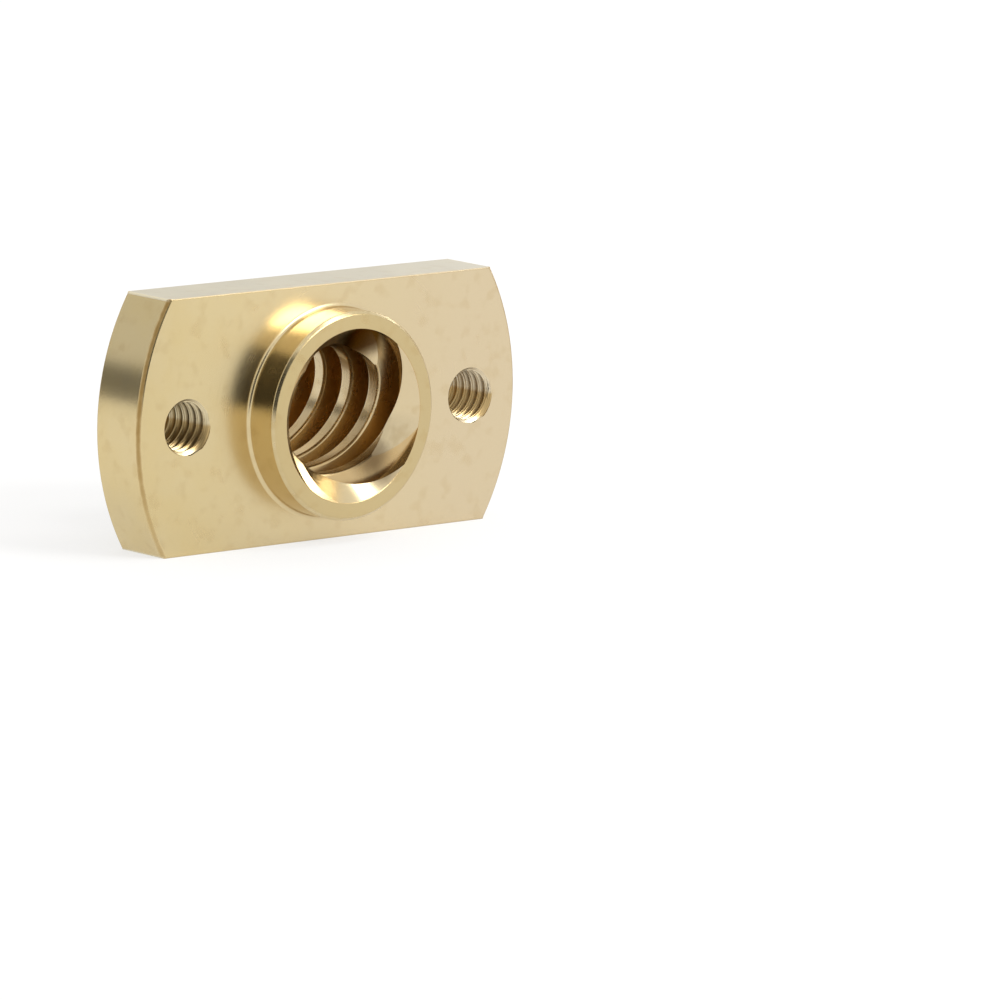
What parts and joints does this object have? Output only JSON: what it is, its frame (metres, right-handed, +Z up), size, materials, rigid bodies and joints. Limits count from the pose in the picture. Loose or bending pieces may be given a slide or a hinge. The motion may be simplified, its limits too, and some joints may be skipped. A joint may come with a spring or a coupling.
{
  "type": "lead screw nut",
  "caption": "Flanged lead screw nut: round-ended flange with milled flats, short boss, longer barrel, multi-start trapezoidal thread and tapped mounting holes.",
  "frame": {"origin": "on the thread axis, in the face of the flange that seats on the carriage", "axes": "+Y along the thread axis, out of the long barrel; +X along the flange, towards one tapped hole; +Z up, out of the upper milled flat"},
  "size_m": [0.024, 0.01, 0.0126],
  "materials": {
    "brass": "turned and milled, satin"
  },
  "bodies": {
    "root": {"nut": "brass"}
  },
  "joints": []
}
